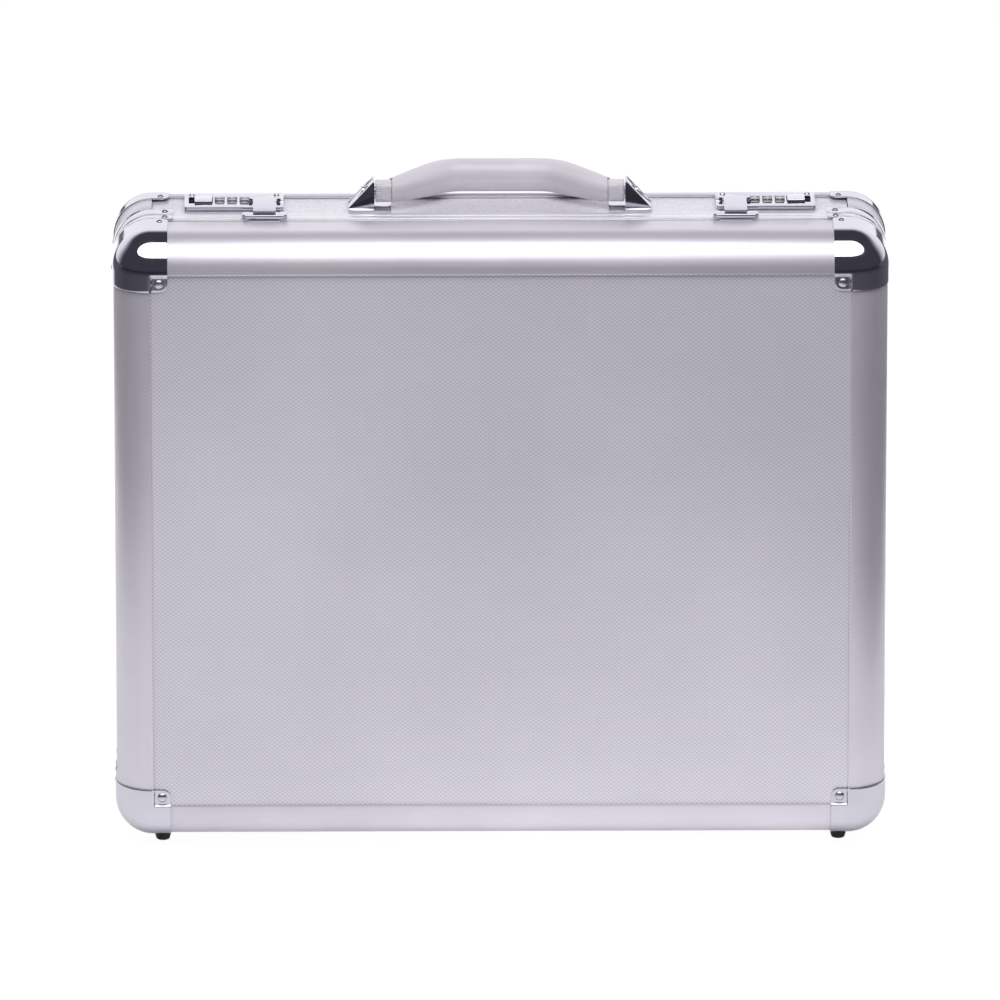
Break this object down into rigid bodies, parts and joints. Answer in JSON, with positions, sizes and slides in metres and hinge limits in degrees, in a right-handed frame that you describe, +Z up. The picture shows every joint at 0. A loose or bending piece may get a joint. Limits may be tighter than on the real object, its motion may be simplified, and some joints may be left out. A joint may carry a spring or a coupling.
{
  "type": "attache case",
  "caption": "Slim hard attache case in satin aluminium: embossed panels in rounded rails, ball corners, two dial locks and a folding grip handle.",
  "frame": {"origin": "on the floor under the middle of the case's bounding box, the case standing on the four feet of its hinge side", "axes": "+X across the case along the handle, -Y towards the lid's face, +Z up through the handle"},
  "size_m": [0.4614, 0.1262, 0.3987],
  "materials": {
    "panel": "anodised sheet, embossed with a fine diamond pattern",
    "wall_board": "anodised sheet with a fine stipple",
    "rail": "satin anodised extrusion",
    "rim": "satin anodised extrusion",
    "chrome": "polished plating",
    "fastener": "plated",
    "steel": "zinc plated",
    "button": "polished plating",
    "dial": "satin nickel with black figures",
    "grip": "smooth moulded grey",
    "cap": "ribbed moulded grey",
    "rubber": "matte",
    "lining": "short nap cloth over board",
    "pocket": "woven cloth"
  },
  "bodies": {
    "base": {"base_panel": "panel", "base_boards": "wall_board", "base_rail_top": "rail", "base_rail_right": "rail", "base_rail_bottom": "rail", "base_rail_left": "rail", "base_corner_inserts": "rail", "base_rim": "rim", "base_corner_tr": "chrome", "base_corner_br": "chrome", "base_corner_bl": "chrome", "base_corner_tl": "chrome", "base_rim_corners": "chrome", "handle_bracket_left": "chrome", "handle_bracket_right": "chrome", "lock_plate_left": "chrome", "lock_plate_right": "chrome", "base_rivets": "fastener", "hinge_pins": "fastener", "handle_pins": "fastener", "dial_axles": "fastener", "hasp_pins": "fastener", "lock_screws": "fastener", "hinge_base_leaves": "steel", "lock_case_left": "steel", "lock_case_right": "steel", "base_feet": "rubber", "base_lining": "lining"},
    "lid": {"lid_panel": "panel", "lid_boards": "wall_board", "lid_rail_top": "rail", "lid_rail_right": "rail", "lid_rail_bottom": "rail", "lid_rail_left": "rail", "lid_rim": "rim", "lid_rim_corners": "chrome", "lid_corner_tr": "chrome", "lid_corner_br": "chrome", "lid_corner_bl": "chrome", "lid_corner_tl": "chrome", "lid_lining": "lining", "lid_pocket": "pocket", "lid_rivets": "fastener", "lid_feet": "rubber", "catch_left": "chrome", "catch_right": "chrome", "hinge_lid_leaves": "steel"},
    "handle": {"handle_grip": "grip", "handle_caps": "cap"},
    "hasp_left_arm": {"hasp_left": "chrome"},
    "button_left_slider": {"button_left": "button"},
    "dial_left_1_wheel": {"dial_left_1": "dial"},
    "dial_left_2_wheel": {"dial_left_2": "dial"},
    "dial_left_3_wheel": {"dial_left_3": "dial"},
    "hasp_right_arm": {"hasp_right": "chrome"},
    "button_right_slider": {"button_right": "button"},
    "dial_right_1_wheel": {"dial_right_1": "dial"},
    "dial_right_2_wheel": {"dial_right_2": "dial"},
    "dial_right_3_wheel": {"dial_right_3": "dial"}
  },
  "joints": [
    {"name": "lid_hinge", "type": "hinge", "parent": "base", "child": "lid", "pos_m": [0, -0.008, 0.0032], "axis": [1, 0, 0], "range_deg": [0, 95]},
    {"name": "handle_pivot", "type": "hinge", "parent": "base", "child": "handle", "pos_m": [0, 0.012, 0.3886], "axis": [1, 0, 0], "range_deg": [0, 172]},
    {"name": "hasp_left_pivot", "type": "hinge", "parent": "base", "child": "hasp_left_arm", "pos_m": [-0.1398, 0.017, 0.3812], "axis": [-1, 0, 0], "range_deg": [0, 80]},
    {"name": "button_left_slide", "type": "slide", "parent": "base", "child": "button_left_slider", "axis": [-1, 0, 0], "range_m": [0, 0.003], "stiffness_N_per_m": 300, "springref_m": -0.002},
    {"name": "dial_left_1_spin", "type": "hinge", "parent": "base", "child": "dial_left_1_wheel", "pos_m": [-0.1666, 0.019, 0.3742], "axis": [1, 0, 0], "continuous": true},
    {"name": "dial_left_2_spin", "type": "hinge", "parent": "base", "child": "dial_left_2_wheel", "pos_m": [-0.1592, 0.019, 0.3742], "axis": [1, 0, 0], "continuous": true},
    {"name": "dial_left_3_spin", "type": "hinge", "parent": "base", "child": "dial_left_3_wheel", "pos_m": [-0.1518, 0.019, 0.3742], "axis": [1, 0, 0], "continuous": true},
    {"name": "hasp_right_pivot", "type": "hinge", "parent": "base", "child": "hasp_right_arm", "pos_m": [0.1398, 0.017, 0.3812], "axis": [-1, 0, 0], "range_deg": [0, 80]},
    {"name": "button_right_slide", "type": "slide", "parent": "base", "child": "button_right_slider", "axis": [1, 0, 0], "range_m": [0, 0.003], "stiffness_N_per_m": 300, "springref_m": -0.002},
    {"name": "dial_right_1_spin", "type": "hinge", "parent": "base", "child": "dial_right_1_wheel", "pos_m": [0.1666, 0.019, 0.3742], "axis": [1, 0, 0], "continuous": true},
    {"name": "dial_right_2_spin", "type": "hinge", "parent": "base", "child": "dial_right_2_wheel", "pos_m": [0.1592, 0.019, 0.3742], "axis": [1, 0, 0], "continuous": true},
    {"name": "dial_right_3_spin", "type": "hinge", "parent": "base", "child": "dial_right_3_wheel", "pos_m": [0.1518, 0.019, 0.3742], "axis": [1, 0, 0], "continuous": true}
  ]
}
